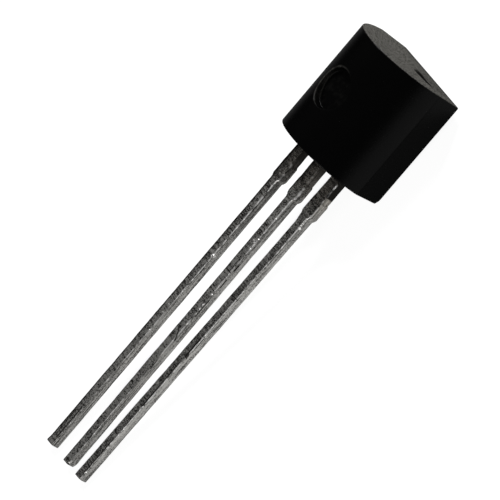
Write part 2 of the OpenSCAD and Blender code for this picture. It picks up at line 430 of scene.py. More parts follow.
def pin_mark(case, rings, local):
    """The square of grid round the ejector pin's mark. Its squares are drawn out to circles, so that one
    ring of them lies on the mark's edge and the rings inside it sink to the flat floor. Returns the
    points, and how much each is lightened: painted highlight on the lip round the mark and on its wall,
    strongest on the side where the light falls, and real rubs on its floor."""
    s, t = np.meshgrid(local, local)
    most = np.maximum(np.abs(s), np.abs(t))
    ring_r = np.interp(most, rings[:, 0], rings[:, 1])
    sink = np.interp(most, rings[:, 0], rings[:, 2])
    away = np.hypot(s, t)
    scale = np.divide(ring_r, away, out=np.ones_like(away), where=away > 0)
    square = ramp(most, SQUARE_FROM, LOCAL - SQUARE_FROM)
    x = s * (scale * (1 - square) + square)
    z = t * (scale * (1 - square) + square)
    arc_r = back_radius(case)
    skin_y = case.back_depth - arc_r + np.sqrt(arc_r**2 - x**2)
    floor_y = case.back_depth - case.pin_mark_sink
    patch = np.stack([x, skin_y + (floor_y - skin_y) * sink, case.pin_mark_up + z], -1)
    around = np.arctan2(t, s)
    outside = ring_r - case.pin_mark_width / 2
    on_floor, on_wall = outside < -0.03, (outside > -0.03) & (outside < 0.006)
    patchy = 0.65 + 0.45 * uneven(around * 3, away, (0.35, 9.0), 5)
    # Painted highlight: the lip and the wall are lightened most on the side where the light falls; the rubs
    # on the floor are real wear.
    lip = np.where(outside > 0.006, bell(outside - 0.02, 0.02), 0)
    lip = lip * np.clip(0.25 + np.cos(around - 0.25), 0, 1) * patchy
    wall = np.where(on_wall, 0.45, 0) * bell(around + 0.2, 0.55)
    rubs = np.where(on_floor, 0.06, 0) * np.maximum(uneven(x, z, (0.08, 0.12), 6) - 0.2, 0)
    return patch, np.clip(lip + wall + rubs, 0, 1)


def case_grids(sizes):
    """The case as three grids. The side runs round the outline and up from the lower end's rim to the
    upper's, where the ends' grey starts: the filler that shows there, with painted sheen in it. The pin
    mark's square of grid lies in the side. Each end is filled by chords from the outline's left side to its
    right: a chord is straight in front and takes the back's curve behind."""
    case = Millimetres(sizes.case)
    upper, lower = sizes.case.upper_draft, sizes.case.lower_draft
    rings = mark_places(case)
    local = mirrored(rings[:, 0])
    fractions = local / LOCAL
    right, crest, flat = outline_columns(case, fractions)
    left = right[::-1] * [-1, 1, -1, 1]
    outline = np.concatenate([right, crest[::-1][1:-1], left, flat[1:-1], right[:1]])
    points, normals = outline[:, :2], outline[:, 2:]
    radius = case.edge_radius
    rim = np.linspace(0, math.pi / 2, RIM_STEPS)

    def rim_rows(end, draft, way):
        """Rows of a rounded rim from its end on, and way is 1 where the case lies above the end."""
        for inward, into in zip(radius * (1 - np.sin(rim)), radius * (1 - np.cos(rim))):
            p = points - inward * normals
            yield np.column_stack([p, end(p[:, 1], case, draft) + way * into])

    sunk_z = case.pin_mark_up + local
    low = np.linspace(END_BAND, sunk_z[0], SIDE_STEPS)[:-1]
    high = np.linspace(sunk_z[-1], case.height - END_BAND, SIDE_STEPS)[1:]
    foot = lower_end(points[:, 1], case, lower) + radius
    head = upper_end(points[:, 1], case, upper) - radius
    rows = [*rim_rows(lower_end, lower, 1)]
    for z in np.concatenate([low, sunk_z, high]):
        to_foot = np.interp(z, [END_GAP, FOOT_FADE], [1, 0]) * (foot - END_GAP)
        head_fade = np.interp(z, [case.height - HEAD_FADE, case.height - END_GAP], [0, 1])
        rows.append(np.column_stack([points, z + to_foot + head_fade * (head - case.height + END_GAP)]))
    rows += [*rim_rows(upper_end, upper, -1)][::-1]
    side = np.array(rows)

    marks = np.zeros(side.shape[:2] + (len(CASE_MARKS),))
    patch, scuffs_and_highlight = pin_mark(case, rings, local)
    first_row, first_column = RIM_STEPS + len(low), len(right) - 1
    square = np.s_[first_row:first_row + len(local), first_column:first_column + len(local)]
    side[square] = patch[:, ::-1]
    marks[square][..., CASE_MARKS.index("scuffs_and_highlight")] = scuffs_and_highlight[:, ::-1]
    # The ends' grey reaches over the upper rim's rounding: a painted highlight along that edge.
    marks[-3:, :, CASE_MARKS.index("end_face")] = np.array([0.4, 1.0, 1.0])[:, None]
    side = np.concatenate([side, marks], -1)
    top = end_grid(side[-1], len(right), fractions, case, upper, True)
    return side, top, end_grid(side[0], len(right), fractions, case, lower, False)


def end_grid(rim, count, fractions, case, draft, is_upper):
    """One end of the case inside its rim, as chords from side to side at equal depths. On the upper end
    the chords behind the parting plane close up round the broken gate's scar, whose floor slopes down."""
    wide = len(fractions)
    right = rim[:count]
    crest = rim[count - 1:count - 1 + wide][::-1]
    left = rim[count - 2 + wide:2 * count - 2 + wide][::-1]
    front = rim[2 * count + wide - 2:2 * count + 2 * wide - 4]
    x = left[:, :1] + (right[:, :1] - left[:, :1]) * (fractions + 1) / 2
    y = np.repeat(right[:, 1:2], wide, 1)
    bulge = ramp(right[:, 1:2], BACK_ROWS[0], right[-1, 1] - BACK_ROWS[0])
    y = y + bulge * (crest[None, :, 1] - crest[0, 1])
    torn_and_shade = np.zeros_like(y)
    if is_upper:
        sink = gate_scar(x, y, torn_and_shade, case)
        z = upper_end(y, case, draft) - sink
    else:
        z = lower_end(y, case, draft)
    grid = np.stack([x, y, z, np.ones_like(x), torn_and_shade, np.zeros_like(x)], -1)
    grid[0, 1:-1, :3], grid[-1, :, :3] = front[:, :3], crest[:, :3]
    grid[:, 0, :3], grid[:, -1, :3] = left[:, :3], right[:, :3]
    return grid if is_upper else grid[:, ::-1]


def gate_scar(x, y, torn_and_shade, case):
    """Opens the gate's scar in the upper end: moves the chords to its edge in y, says how dark the torn
    floor and the surface round it are, and returns how deep each point lies. The torn floor's darkness is
    partly painted shade in the recess; round it come a darker halo, painted shade along the front rim and
    painted shade before the deep end, where the recess casts its shadow. The edge is a run of straight
    lines, shut at the far end and at the deep one, the floor drops evenly to the deep end, and the halo
    and the shade before the deep end fade out as bell curves, the shade along the front rim as a ramp."""
    sink = np.zeros_like(y)
    first = CORNER_STEPS + len(WALL_PLACES) + 1
    column = np.argmin(np.abs(x[first] + case.gate_off))
    blunt, deep = x[first, column - 1], x[first, column]
    far = deep - case.gate_length
    shut, open_to, back = 0.012, GATE_ROWS[GATE_EDGE], BACK_ROWS[0]
    edge_x = [far - 0.3, far, far + 0.12, far + 0.6 * case.gate_length, blunt, deep, deep + 0.3]
    edge_y = [open_to, shut, 0.55 * case.gate_width, 0.85 * case.gate_width, case.gate_width, shut, open_to]
    edge = np.interp(x, edge_x, edge_y)
    for k, place in enumerate(GATE_ROWS):
        row = first + k
        if k <= GATE_EDGE:
            y[row] = edge[row] * place / open_to
        else:
            y[row] = edge[row] + (back - edge[row]) * (place - open_to) / (back - open_to)
        if k < GATE_EDGE:
            within = (x[row] > far) & (x[row] < (blunt + deep) / 2)
            depth = case.gate_sink * (x[row] - far) / case.gate_length
            grain = uneven(x[row], y[row], (0.06, 0.06), 41)
            sink[row] = np.where(within, depth * (1 + 0.15 * grain), 0)
            # The torn floor is dark: partly its broken surface, partly painted shade in the recess.
            torn_and_shade[row] = within
    torn_and_shade[first - 1] = (x[first - 1] > far) & (x[first - 1] < (blunt + deep) / 2)
    # Darker shades on the end face: a halo in front of the scar's middle, painted shade along the front rim,
    # and painted shade before the deep end, where the recess casts its shadow.
    before_scar = 0.35 * bell(x - (deep + far) / 2, 0.9) * bell(y + 0.5, 0.6)
    front_rim = 0.75 * ramp(-y - case.front_depth, -0.4, 0.3)
    deep_edge = bell(x - deep + 0.2, 0.25) * bell(y + 0.02, 0.11)
    for shade in (before_scar, front_rim, deep_edge):
        np.maximum(torn_and_shade, shade, out=torn_and_shade)
    return sink


# Leads

# Rounding of a lead's edges above its shank, the heights over which it takes over, and the tip's rounding
SHARP = 0.03
SHARP_FROM = (-1.95, -1.8)
TIP_ROUND = 0.03
# Points along the wide and the deep side of a lead's section and round each corner
SECTION = (12, 10, 7)
# How far the shears flared the collector's tip and cut into the base's, each with its length
TIP_FLARE = (0.035, 0.3)
TIP_CUT = (0.09, 0.22)
# Height at which a nick, or a bead on the ridge with its painted glint, is at its brightest
BRIGHT_AT = 0.008
LEAD_MARKS = ("rubbed_and_highlight", "stained_and_shade", "browned", "flank", "clean")


def rounded_section(left, right, back, front, radius, counts):
    """Rings of a rounded rectangle, one per row: each side is a straight run of points and each corner a
    quarter circle. Returns x and y, both with a row for each ring, and each point's outward normal."""
    wide, deep, turn = counts
    quarter = np.linspace(0, math.pi / 2, turn)
    left, right, radius = left[:, None], right[:, None], radius[:, None]
    back, front = back[:, None], front[:, None]
    hubs = [
        (right - radius, back - radius), (left + radius, back - radius),
        (left + radius, front + radius), (right - radius, front + radius),
    ]
    parts = []
    for k, (hub_x, hub_y) in enumerate(hubs):
        bend = quarter + k * math.pi / 2
        nx, ny = np.cos(bend)[None] + 0 * hub_x, np.sin(bend)[None] + 0 * hub_y
        parts.append((hub_x + radius * nx, hub_y + radius * ny, nx, ny))
        next_x, next_y = hubs[(k + 1) % 4]
        nx, ny = nx[:, -1:], ny[:, -1:]
        corner_end = [a[:, -1:] for a in parts[-1]]
        side_end = (next_x + radius * nx, next_y + radius * ny, nx, ny)
        run = np.linspace(0, 1, (wide if k % 2 == 0 else deep) + 1)[None, 1:-1]
        parts.append([a + (b - a) * run for a, b in zip(corner_end, side_end)])
    parts.append([a[:, :1] for a in parts[0]])
    return [np.concatenate(a, 1) for a in zip(*parts)]


def lead_sides(z, lead, x, lean, inner):
    """Left and right sides of a lead at each height: the plain lead, the slopes up to the tie bar's
    remains, the shoulder with its notches, and the pad or the head of the bond post inside."""
    drift = lean * np.maximum(-z, 0) / lead.length
    half = lead.width / 2
    shoulder = half + lead.shoulder_step
    stub = shoulder + lead.stub_step
    stub_end = lead.stub_from + lead.stub_height
    knots = [-stub_end - lead.taper, -stub_end, -lead.stub_from, -lead.stub_from + 2 * lead.stub_step]
    reach = np.maximum(np.interp(z, knots, [half / 2, stub, stub, shoulder]), half)
    shift = lead.stub_shift * np.interp(z, knots, [1, 1, 1, 0])
    shift = shift * (reach > half + 1e-6)
    gap = lead.notch**2 - (z - lead.notch_up) ** 2
    reach = reach - np.sqrt(np.maximum(gap, 0))
    left, right = x + drift + shift - reach, x + drift + shift + reach
    low, top, inner_left, inner_right = inner
    within = (z >= low) & (z <= top)
    left = np.where(within, np.minimum(inner_left, left), left)
    right = np.where(within, np.maximum(inner_right, right), right)
    return left, right


def lead_heights(lead, low, top):
    """Heights of a lead's rings: even along the shank and the neck, close together round the notches, and
    a pair at the step where the wide inner part starts."""
    shank_step, neck_step, step_gap, clearance = 0.024, 0.025, 0.0005, 0.1
    stub_end = lead.stub_from + lead.stub_height
    shank = np.arange(-lead.length + 0.05, -stub_end - lead.taper - clearance, shank_step)
    neck = np.arange(-stub_end - lead.taper - clearance, 0.3, neck_step)
    notch = lead.notch_up + lead.notch * np.cos(np.linspace(math.pi, 0, 17))
    inside = np.linspace(lead.notch_up + lead.notch + 0.04, top, 26)[:-1]
    steps = [low - step_gap, low + step_gap, top]
    return np.unique(np.round(np.concatenate([shank, neck, notch, inside, steps]), 5))


def lead_outline(lead, name):
    """A lead's heights, with its left and right side at each. The collector carries the pad with its cut
    corner, and the others carry bond posts. The necks and the tips are a little wider or narrower."""
    pad_right = lead.pitch + lead.width / 2 + lead.shoulder_step + lead.pad_lip
    pad_left = pad_right - lead.pad_width
    pad_top = lead.pad_up + lead.pad_height
    base_low, base_half = lead.base_post_up - lead.head, lead.base_post_width / 2
    emitter_low, emitter_half = lead.emitter_post_up - lead.head, lead.emitter_post_width / 2
    x = {"collector_lead": lead.pitch, "base_lead": 0.0, "emitter_lead": -lead.pitch}[name]
    lean, low, top, inner_left, inner_right = {
        "collector_lead": (lead.collector_lean, lead.pad_up, pad_top, pad_left, pad_right),
        "base_lead": (lead.base_lean, base_low, lead.base_post_up, -base_half, base_half),
        "emitter_lead": (
            lead.emitter_lean, emitter_low, lead.emitter_post_up, x - emitter_half, x + emitter_half
        ),
    }[name]
    z = lead_heights(lead, low, top)
    left, right = lead_sides(z, lead, x, lean, (low, top, inner_left, inner_right))
    past_tip = -z - lead.length
    if name == "collector_lead":
        right = np.minimum(right, pad_right - np.maximum(z - (pad_top - lead.pad_cut), 0))
        flare, reach = TIP_FLARE
        right = right + flare * ramp(past_tip, -reach, reach)
    if name == "base_lead":
        cut, reach = TIP_CUT
        left = left + cut * np.maximum(past_tip + reach, 0) ** 2 / reach**2
    extra, neck_end, neck_rise = NECK_EXTRA[name]
    right = right + extra * ramp(z, neck_end, neck_rise) * ramp(-z, -0.3, 0.15)
    return z, left, right


def dents(z, u, marks):
    """Depth of the nicks at each point: each mark is (height, place across, length, width, depth), and is
    deepest in its middle and gone at its rim, as a flat cone."""
    depth = np.zeros_like(z)
    for place, across, long, wide, deep in marks:
        away = ((z - place) / (long / 2)) ** 2 + ((u - across) / (wide / 2)) ** 2
        depth = depth + deep * np.maximum(1 - np.sqrt(away), 0)
    return depth


def strokes(z, u, lines):
    """How dark the scratches are at each point: full along a scratch, and less with the distance from its
    nearest point, as 1.5 - distance / width."""
    dark = np.zeros_like(z)
    for z0, u0, z1, u1, wide, strength in lines:
        run = (z1 - z0) ** 2 + (u1 - u0) ** 2
        share_along = np.clip(((z - z0) * (z1 - z0) + (u - u0) * (u1 - u0)) / run, 0, 1)
        away = np.hypot(z - z0 - share_along * (z1 - z0), u - u0 - share_along * (u1 - u0))
        dark = np.maximum(dark, strength * np.clip(1.5 - away / wide, 0, 1))
    return dark


# Wear of each lead, and the painted highlight and shade on it. A place across is counted from the ridge,
# over the broad face above 0 and down the side face below 0, and heights are counted from the case, all in
# millimetres.
# Nicks and stains are (height, place across, length, width, and how deep or how dark)
NICKS = {
    "collector_lead": [
        (-2.37, 0.0, 0.1, 0.08, 0.018), (-3.0, 0.0, 0.08, 0.07, 0.014), (-5.48, -0.01, 0.14, 0.26, 0.03),
        (-7.9, 0.12, 0.06, 0.16, 0.01), (-8.25, 0.1, 0.06, 0.16, 0.01), (-9.1, 0.02, 0.08, 0.08, 0.014),
    ],
    "base_lead": [
        (-2.42, 0.0, 0.08, 0.08, 0.015), (-2.8, 0.0, 0.08, 0.08, 0.016), (-3.78, 0.0, 0.11, 0.1, 0.022),
        (-3.9, 0.07, 0.13, 0.12, 0.026), (-3.87, 0.17, 0.09, 0.08, 0.016), (-4.15, 0.05, 0.11, 0.1, 0.02),
        (-6.4, 0.0, 0.09, 0.12, 0.02), (-7.1, 0.0, 0.08, 0.06, 0.014),
    ],
    "emitter_lead": [
        (-0.4, 0.0, 0.22, 0.08, 0.008), (-1.7, 0.04, 0.08, 0.08, 0.014), (-1.87, 0.03, 0.08, 0.08, 0.014),
        (-2.02, 0.0, 0.08, 0.08, 0.015), (-2.12, 0.0, 0.07, 0.08, 0.015), (-2.22, 0.0, 0.07, 0.08, 0.015),
        (-2.33, -0.04, 0.11, 0.18, 0.024), (-4.62, 0.02, 0.12, 0.08, 0.02), (-6.2, -0.02, 0.2, 0.08, 0.02),
        (-11.06, 0.02, 0.24, 0.1, 0.018), (-12.1, 0.0, 0.08, 0.07, 0.014), (-14.3, 0.0, 0.16, 0.08, 0.018),
    ],
}
STAINS = {
    "collector_lead": [
        (-0.42, 0.0, 0.2, 0.12, 0.8), (-0.93, 0.15, 0.08, 0.1, 0.9), (-1.05, 0.2, 0.06, 0.12, 0.9),
        (-1.1, 0.05, 0.08, 0.1, 0.7), (-1.35, 0.32, 0.3, 0.1, 0.5), (-4.9, 0.2, 0.08, 0.06, 0.7),
        (-5.3, 0.1, 0.1, 0.08, 0.6), (-6.87, 0.03, 0.24, 0.18, 0.7), (-8.15, 0.15, 0.05, 0.2, 0.6),
        (-9.54, 0.1, 0.11, 0.09, 1.5), (-11.05, 0.05, 0.16, 0.1, 1.6), (-12.55, 0.2, 0.3, 0.25, 0.5),
        (-14.45, 0.2, 0.25, 0.4, 0.6),
    ],
    "base_lead": [
        (-0.8, 0.2, 0.1, 0.08, 0.6), (-1.82, 0.0, 0.05, 0.2, 0.8), (-4.7, 0.25, 0.06, 0.14, 0.7),
        (-6.55, 0.2, 0.1, 0.1, 0.7), (-8.06, 0.2, 0.12, 0.2, 1.8), (-14.5, 0.2, 0.3, 0.4, 0.8),
        # This stain on the base's tip is partly painted shade: it dulls the glint that the tip's rounding
        # would catch.
        (-14.62, 0.0, 0.14, 0.2, 1.5),
    ],
    "emitter_lead": [
        (-0.75, 0.0, 0.3, 0.12, 0.9), (-3.93, -0.06, 0.1, 0.08, 1.0), (-4.22, -0.05, 0.14, 0.09, 1.4),
        (-6.37, -0.02, 0.06, 0.1, 1.0), (-7.57, -0.01, 0.09, 0.1, 1.1), (-8.5, 0.02, 0.26, 0.2, 2.5),
        (-8.6, -0.06, 0.1, 0.08, 0.9), (-10.9, 0.0, 0.09, 0.1, 1.1),
    ],
}
# Scratches are straight, from (height, place across) to (height, place across), then width and how dark
SCRATCHES = {
    "collector_lead": [
        (-3.2, 0.12, -3.22, 0.22, 0.02, 0.8), (-3.3, 0.14, -3.28, 0.34, 0.02, 1.0),
        (-3.38, 0.1, -3.4, 0.24, 0.02, 0.9), (-3.48, 0.16, -3.47, 0.34, 0.02, 1.0),
        (-3.57, 0.12, -3.58, 0.28, 0.02, 0.9), (-3.67, 0.14, -3.66, 0.36, 0.02, 1.0),
        (-3.76, 0.05, -3.78, 0.26, 0.02, 0.9), (-3.3, 0.13, -3.8, 0.12, 0.015, 0.7),
        (-2.5, -0.06, -5.2, -0.07, 0.015, 0.5), (-6.05, -0.06, -6.28, -0.06, 0.025, 0.9),
        (-12.9, 0.12, -13.1, 0.09, 0.028, 1.0), (-13.1, 0.09, -14.3, 0.09, 0.028, 1.0),
        (-13.15, 0.26, -13.9, 0.28, 0.02, 0.8), (-13.9, 0.28, -14.2, 0.2, 0.02, 0.8),
    ],
    "base_lead": [
        (-3.2, 0.12, -3.2, 0.26, 0.02, 0.9), (-3.34, 0.08, -3.32, 0.24, 0.02, 0.9),
        (-3.46, 0.14, -3.48, 0.3, 0.02, 0.9), (-3.6, 0.06, -3.56, 0.2, 0.02, 0.8),
        (-4.75, 0.1, -5.34, 0.1, 0.02, 0.9), (-5.34, 0.0, -5.34, 0.3, 0.022, 1.0),
        (-4.72, 0.12, -4.76, 0.28, 0.02, 0.8), (-4.95, -0.09, -5.22, -0.09, 0.025, 1.0),
        (-5.65, -0.09, -6.0, -0.09, 0.022, 0.9), (-6.62, -0.08, -7.4, -0.08, 0.02, 0.7),
        (-8.1, 0.26, -8.16, 0.17, 0.03, 1.2), (-8.16, 0.17, -8.22, 0.1, 0.03, 1.2),
        (-8.22, 0.1, -8.33, 0.04, 0.03, 1.2), (-8.33, 0.04, -8.47, -0.03, 0.03, 1.2),
        (-8.47, -0.03, -8.55, -0.06, 0.03, 1.2), (-9.56, -0.03, -9.92, -0.04, 0.02, 0.9),
        (-9.75, -0.09, -10.3, -0.1, 0.015, 0.6), (-13.2, 0.22, -13.17, 0.1, 0.02, 1.0),
        (-13.17, 0.1, -13.24, 0.04, 0.02, 1.0), (-13.24, 0.04, -13.52, 0.03, 0.02, 1.0),
        (-13.5, 0.1, -13.44, 0.24, 0.015, 0.7), (-14.02, 0.04, -13.98, 0.16, 0.025, 1.1),
    ],
    "emitter_lead": [
        (-2.4, -0.07, -4.1, -0.07, 0.015, 0.6), (-4.86, 0.08, -4.82, 0.26, 0.015, 0.7),
        (-5.78, 0.34, -5.76, -0.07, 0.022, 0.75), (-7.62, -0.06, -8.3, -0.07, 0.015, 0.7),
        (-7.7, 0.06, -8.45, 0.07, 0.03, 1.0), (-8.85, 0.08, -9.9, 0.07, 0.018, 0.7),
        (-10.0, 0.07, -11.0, 0.06, 0.025, 0.9), (-12.6, 0.06, -14.3, 0.06, 0.015, 0.7),
    ],
}
# How clean the plating is down the broad faces and down the side faces, and how bright the painted highlight
# along the ridge is, as (height, share)
CLEAN_BROAD = {
    "collector_lead": [
        (-0.6, 0.14), (-1.2, 0.14), (-2.0, 0.28), (-3.5, 0.38), (-5.0, 0.5), (-8.0, 0.64), (-11.5, 0.8),
        (-12.3, 0.6), (-12.6, 0.5), (-13.2, 0.56),
    ],
    "base_lead": [
        (-0.5, 0.18), (-1.2, 0.38), (-1.7, 0.4), (-2.5, 0.36), (-3.5, 0.62), (-7.0, 0.76), (-14.0, 0.95),
    ],
    "emitter_lead": [
        (-0.35, 0.22), (-1.0, 0.42), (-1.3, 0.38), (-1.7, 0.28), (-2.0, 0.32), (-3.5, 0.27), (-6.5, 0.23),
        (-7.2, 0.3), (-14.0, 0.31),
    ],
}
CLEAN_NARROW = {
    "collector_lead": [
        (-0.7, 0.02), (-1.1, 0.12), (-1.6, 0.3), (-2.2, 0.29), (-3.5, 0.38), (-5.5, 0.52), (-8.5, 0.74),
        (-10.5, 0.8), (-11.5, 0.82), (-13.0, 0.61),
    ],
    "base_lead": [
        (-0.4, 0.06), (-1.0, 0.28), (-1.6, 0.5), (-2.2, 0.46), (-3.5, 0.48), (-6.0, 0.6), (-7.5, 0.82),
        (-8.5, 0.8), (-9.5, 0.73), (-10.5, 0.75), (-11.5, 0.88), (-12.5, 0.84), (-13.5, 0.63),
    ],
    "emitter_lead": [
        (-0.84, 0.0), (-0.88, 0.66), (-2.5, 0.54), (-5.0, 0.67), (-7.5, 0.8), (-8.5, 0.75), (-10.5, 0.74),
        (-12.0, 0.67), (-13.5, 0.7),
    ],
}
RIDGE = {
    "collector_lead": [
        (-0.9, 0.0), (-1.4, 0.45), (-1.8, 0.4), (-2.0, 1.4), (-2.4, 0.9), (-5.5, 0.9), (-6.5, 0.6),
        (-10.5, 0.65), (-11.5, 0.3), (-13.0, 0.15),
    ],
    "base_lead": [
        (-0.6, 0.05), (-1.2, 0.2), (-1.4, 0.4), (-1.75, 0.4), (-1.85, 0.1), (-1.95, 0.9), (-3.5, 1.1),
        (-5.0, 0.9), (-8.0, 0.9), (-9.5, 0.45), (-13.0, 0.45), (-14.1, 0.1),
    ],
    "emitter_lead": [
        (-0.3, 0.3), (-0.5, 0.1), (-0.85, 0.1), (-1.1, 0.35), (-1.95, 0.3), (-2.1, 1.2), (-2.6, 0.7),
        (-3.5, 1.0), (-8.8, 1.0), (-9.3, 1.4), (-10.1, 1.2), (-10.8, 0.9), (-14.5, 0.9), (-14.6, 0.2),
    ],
}
# How much wider a lead is above its shank on its outer side, where that ends and over what height
NECK_EXTRA = {
    "collector_lead": (0.0, -1.98, 0.18),
    "base_lead": (0.04, -1.98, 0.18),
    "emitter_lead": (0.065, -2.35, 0.6),
}
# How wide the painted highlight along the ridge is, and how much painted shade darkens the broad face
# towards its outer edge. Below 0 the face is lighter there instead, as painted light.
RIDGE_WIDTH = {"collector_lead": 0.042, "base_lead": 0.042, "emitter_lead": 0.032}
DARK_EDGE = {"collector_lead": 1.0, "base_lead": 0.65, "emitter_lead": -0.25}
# Seed of the first of a lead's unevennesses. Each other one has its number added.
FIRST_SEED = {"collector_lead": 109, "base_lead": 74, "emitter_lead": 95}


def lead_grid(sizes, name):
    """A lead as one grid: rings of its section from the trimmed tip up to its end inside the case, closed
    at both ends. The rings follow the lead's sides, slope with the trimmed tip, and are roughened by soft
    unevenness and by the nicks. The last five numbers of a point say how bright it is from nicks and from
    the painted highlight along the ridge, how dark from stains, scratches and painted shade towards the
    broad face's outer edge, how browned it is, how far it faces sideways, and how clean its plating is,
    with painted shade graded across the broad faces."""
    lead = Millimetres(sizes.leads)
    z, left, right = lead_outline(lead, name)
    radius = np.interp(z, SHARP_FROM, [lead.edge_radius, SHARP])
    back = np.full(len(z), lead.sheet_set + lead.sheet / 2)
    front = np.full(len(z), lead.sheet_set - lead.sheet / 2)
    px, py, nx, ny = rounded_section(left, right, back, front, radius, SECTION)
    left, right = left[:, None], right[:, None]
    round_at = np.concatenate([[0], np.cumsum(np.hypot(np.diff(px[0]), np.diff(py[0])))])
    around = round_at[-1]
    girth = np.repeat(round_at[None], len(z), 0)
    zz = np.repeat(z[:, None], px.shape[1], 1)

    def rough(cell, number):
        """Unevenness all over the lead."""
        return uneven(zz, girth, cell, FIRST_SEED[name] + number, around)

    def banded(cell, number):
        """Unevenness along the lead, the same all round."""
        return uneven(zz, girth * 0, (cell, 1.0), FIRST_SEED[name] + number)

    def down(table):
        """What a table of the lead's heights and shares gives at each point."""
        heights, shares = zip(*reversed(table[name]))
        return np.interp(zz, heights, shares)

    # Place across, counted from the ridge: over the broad face above 0, down the side face below 0
    across = np.where(ny > 0.5, px - left, 0) - np.where(nx < -0.5, back[:, None] - py, 0)
    seen = (nx < 0.5) & (ny > -0.5)
    ridge = bell(across, RIDGE_WIDTH[name] + 0.035 * ramp(zz, -2.0, 0.3)) * seen
    beads = np.maximum(banded(0.11, 2), 0) * ridge * BRIGHT_AT
    nick = dents(zz, across, NICKS[name]) * seen
    outside = np.clip(-zz / 0.1, 0, 1)
    waves, grain = rough((0.5, 0.2), 0) * 0.005, rough((0.09, 0.07), 1) * 0.0025
    push = (waves + grain + beads) * outside - nick
    px, py = px + nx * push, py + ny * push

    # Painted highlight along the ridge: brightness that stands in for the glint of the rounded edge, broken
    # up along the lead and brighter on the beads, on top of the bright nicks.
    drawn = banded(0.35, 3) + 0.8 * banded(0.09, 4)
    ridge_highlight = ridge * down(RIDGE) * np.clip(1 + 0.8 * drawn, 0, 2)
    bead_glint = 0.6 * beads / BRIGHT_AT
    rubbed_and_highlight = 2 * np.clip(nick / BRIGHT_AT, 0, 1) + np.minimum(bead_glint + ridge_highlight, 1.2)
    on_broad = ny > 0.2
    stained_and_shade = np.maximum(dents(zz, across, STAINS[name]), strokes(zz, across, SCRATCHES[name])) * seen
    # Painted shade: the broad face darkens towards its outer edge.
    stained_and_shade = np.maximum(stained_and_shade, DARK_EDGE[name] * bell(right - px, 0.105) * on_broad)
    # Painted shade graded across the broad face, lighter at the ridge and darker at the outer edge; where
    # DARK_EDGE is below 0 it turns round, as painted light.
    toward = np.clip((px - left) / (right - left), 0, 1)
    shade_slant = 1 + 1.7 * DARK_EDGE[name] * (0.5 - toward) * on_broad
    flank = np.abs(nx)
    clean = down(CLEAN_BROAD) * shade_slant * (1 - flank) + down(CLEAN_NARROW) * flank
    clean = clean * (1 + 0.13 * rough((0.7, 0.3), 5))
    worn = np.stack([rubbed_and_highlight, stained_and_shade, ramp(zz, -2.2, 1.6), flank, clean], -1)

    def rings(xs, ys, zs, marks):
        """Finished points: the trimmed tip slopes across, and the slope fades out up the lead."""
        sloped = zs - xs * math.tan(sizes.leads.trim) * ramp(-zs - lead.length, -1.2, 1.2)
        return np.concatenate([np.stack([xs, ys, sloped], -1), marks], -1)

    body = rings(px, py, zz, worn)
    tip = []
    for bend in np.linspace(math.pi / 2, 0, 5):
        inset = TIP_ROUND * (1 - math.cos(bend))
        height = np.full_like(px[0], -lead.length + TIP_ROUND * (1 - math.sin(bend)))
        tip.append(rings(px[0] - nx[0] * inset, py[0] - ny[0] * inset, height, worn[0]))
    tip_middle, lid_middle = tip[0][:-1].mean(0), body[-1][:-1].mean(0)
    tip_face = [tip_middle + (tip[0] - tip_middle) * s for s in (0.0, 0.25, 0.5, 0.75, 0.92)]
    lid = [lid_middle + (body[-1] - lid_middle) * s for s in (0.9, 0.5, 0.0)]
    return np.concatenate([tip_face, tip, body, lid])


# Materials

WHITE = (1.0, 1.0, 1.0, 1.0)
BLACK = (0.0, 0.0, 0.0, 1.0)


class Socket:
    """A number, colour or vector that varies over a surface. Sums on it add Math nodes."""

    def __init__(self, finish, link):
        self.finish = finish
        self.link = link

    def maths(self, operation, *values):
        """A Math node of that operation on those values."""
        return self.finish.node("Math", {"operation": operation}, dict(enumerate(values)))

    def __add__(self, other):
        return self.maths("ADD", self, other)

    __radd__ = __add__

    def __sub__(self, other):
        return self.maths("SUBTRACT", self, other)

    def __rsub__(self, other):
        return self.maths("SUBTRACT", other, self)

    def __mul__(self, other):
        return self.maths("MULTIPLY", self, other)

    __rmul__ = __mul__

    def most(self, other):
        """The greater of the two."""
        return self.maths("MAXIMUM", self, other)

    def above(self, low, high):
        """0 below low, 1 above high and eased between."""
        settings = {"interpolation_type": "SMOOTHSTEP"}
        return self.finish.node("MapRange", settings, {0: self, 1: low, 2: high})


